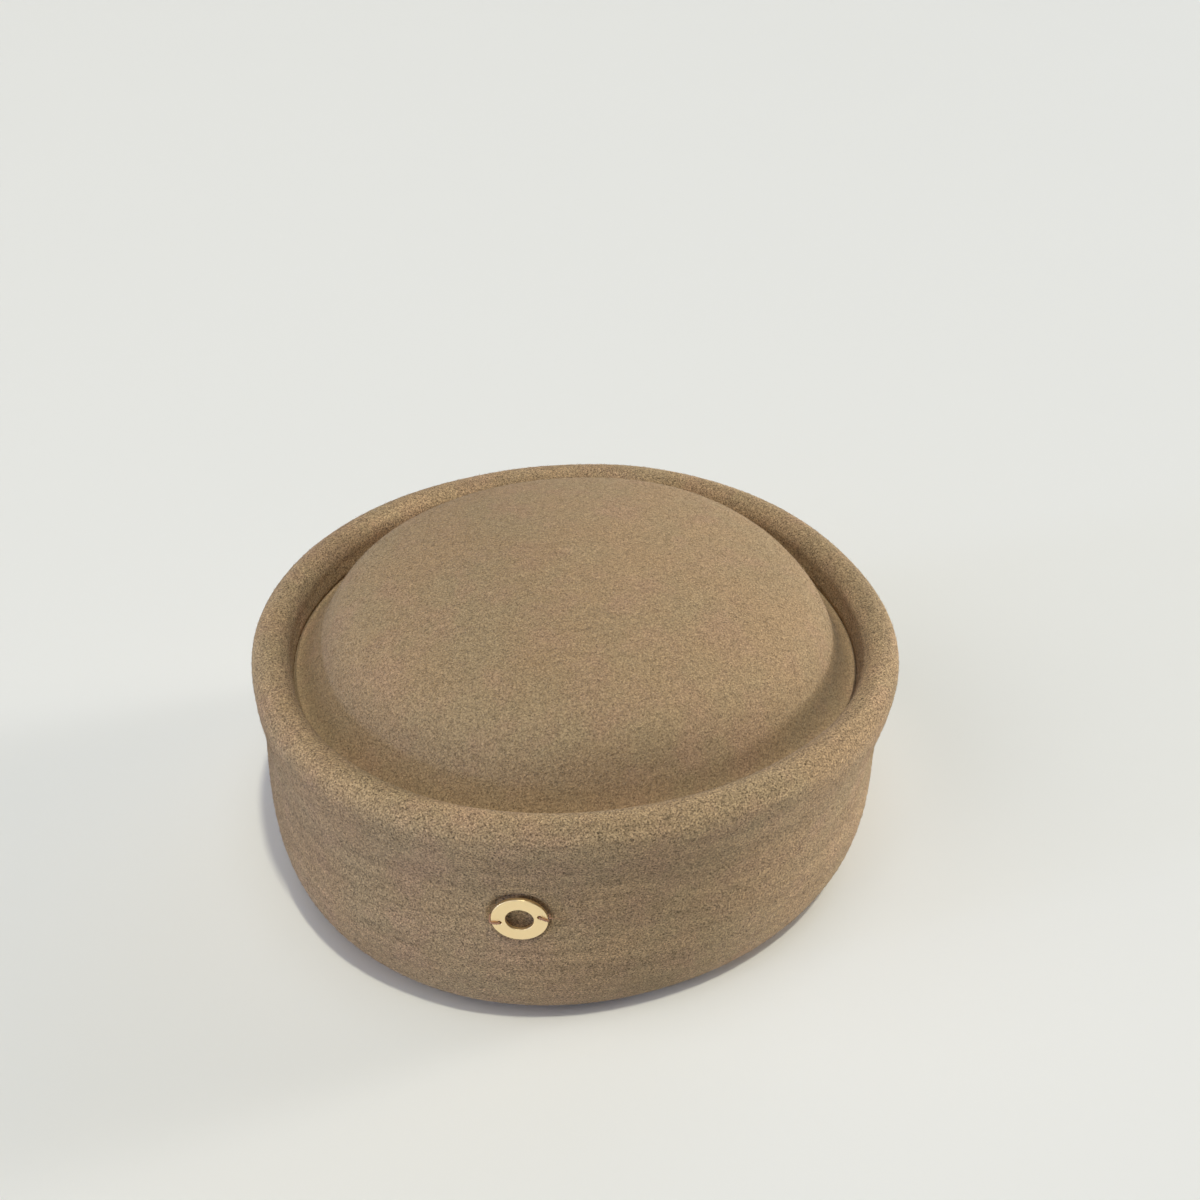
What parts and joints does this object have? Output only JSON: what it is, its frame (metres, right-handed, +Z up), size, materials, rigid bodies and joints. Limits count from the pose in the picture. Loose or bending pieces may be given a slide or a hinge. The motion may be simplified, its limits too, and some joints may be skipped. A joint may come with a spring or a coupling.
{
  "type": "felt pillbox hat",
  "caption": "Stiff blocked wool felt pillbox hat: oval band with a rolled rim, a domed crown set down inside the rim, and a small metal ring sewn on one side.",
  "frame": {"origin": "on the surface the hat rests on, below the middle of its oval", "axes": "+Z up, X along the hat's long front-to-back axis, -Y towards the side that carries the metal ring"},
  "size_m": [0.2356, 0.2156, 0.124],
  "materials": {
    "felt": "camel melange wool felt, blocked and lightly brushed",
    "ring_metal": "pale gold plate, polished"
  },
  "bodies": {
    "root": {"side_band": "felt", "crown": "felt", "metal_ring": "ring_metal"}
  },
  "joints": []
}
